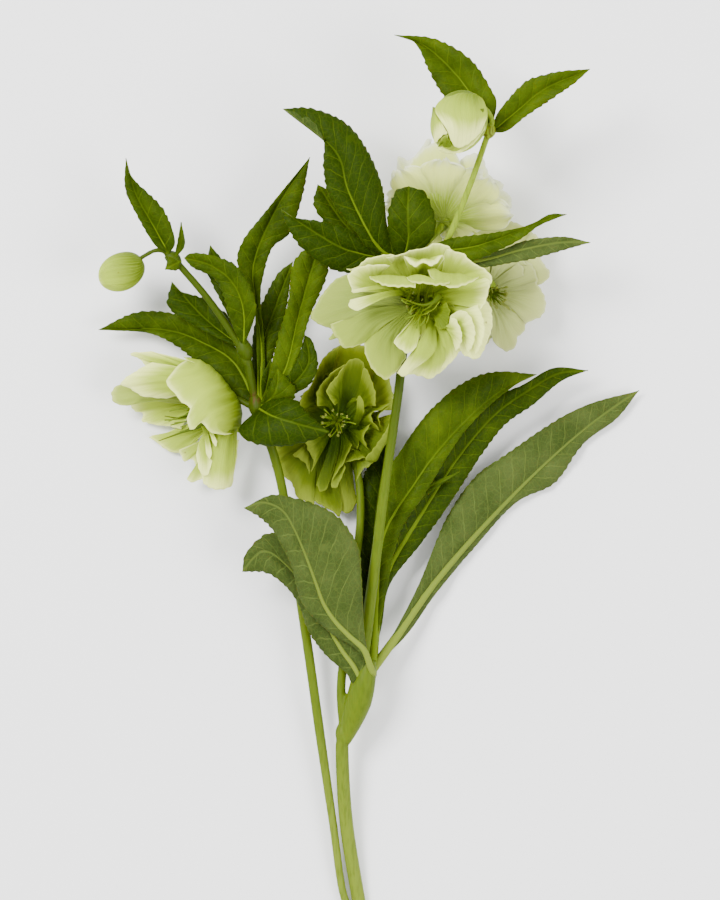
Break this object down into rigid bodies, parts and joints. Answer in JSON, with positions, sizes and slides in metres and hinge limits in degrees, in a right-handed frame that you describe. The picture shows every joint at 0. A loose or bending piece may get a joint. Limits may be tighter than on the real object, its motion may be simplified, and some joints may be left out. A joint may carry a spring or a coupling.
{
  "type": "hellebore flower",
  "caption": "Cut branching stem of a double hellebore lying on its back, with toothed green leaves, ruffled cream-green blooms and closed buds.",
  "frame": {"origin": "centre of the foot of the object's box, on the surface that it lies on", "axes": "+Y up the stem from its cut end to the top bud, +Z away from the surface, +X to the right"},
  "size_m": [0.2184, 0.3644, 0.0735],
  "materials": {
    "stem": "smooth pale green living stem",
    "leaf": "satin green leaf with pale veins",
    "petal_cream": "soft matt petal, cream with a green base",
    "petal_white": "soft matt petal, white",
    "petal_green": "soft matt petal, shaded yellow-green",
    "stamen": "matt yellow-green"
  },
  "bodies": {
    "root": {"stem": "stem", "bract_lower": "leaf", "bract_left_lower": "leaf", "bract_left_upper": "leaf", "bract_bud_b": "leaf", "bract_middle": "leaf", "bract_top": "leaf", "bloom_front_petals": "petal_cream", "bloom_front_centre": "stamen", "bloom_left_petals": "petal_cream", "bloom_left_centre": "stamen", "bloom_centre_petals": "petal_green", "bloom_centre_centre": "stamen", "bloom_back_top_petals": "petal_white", "bloom_back_top_centre": "stamen", "bloom_back_right_petals": "petal_white", "bloom_back_right_centre": "stamen", "bud_top": "petal_cream", "bud_left": "petal_cream"}
  },
  "joints": []
}
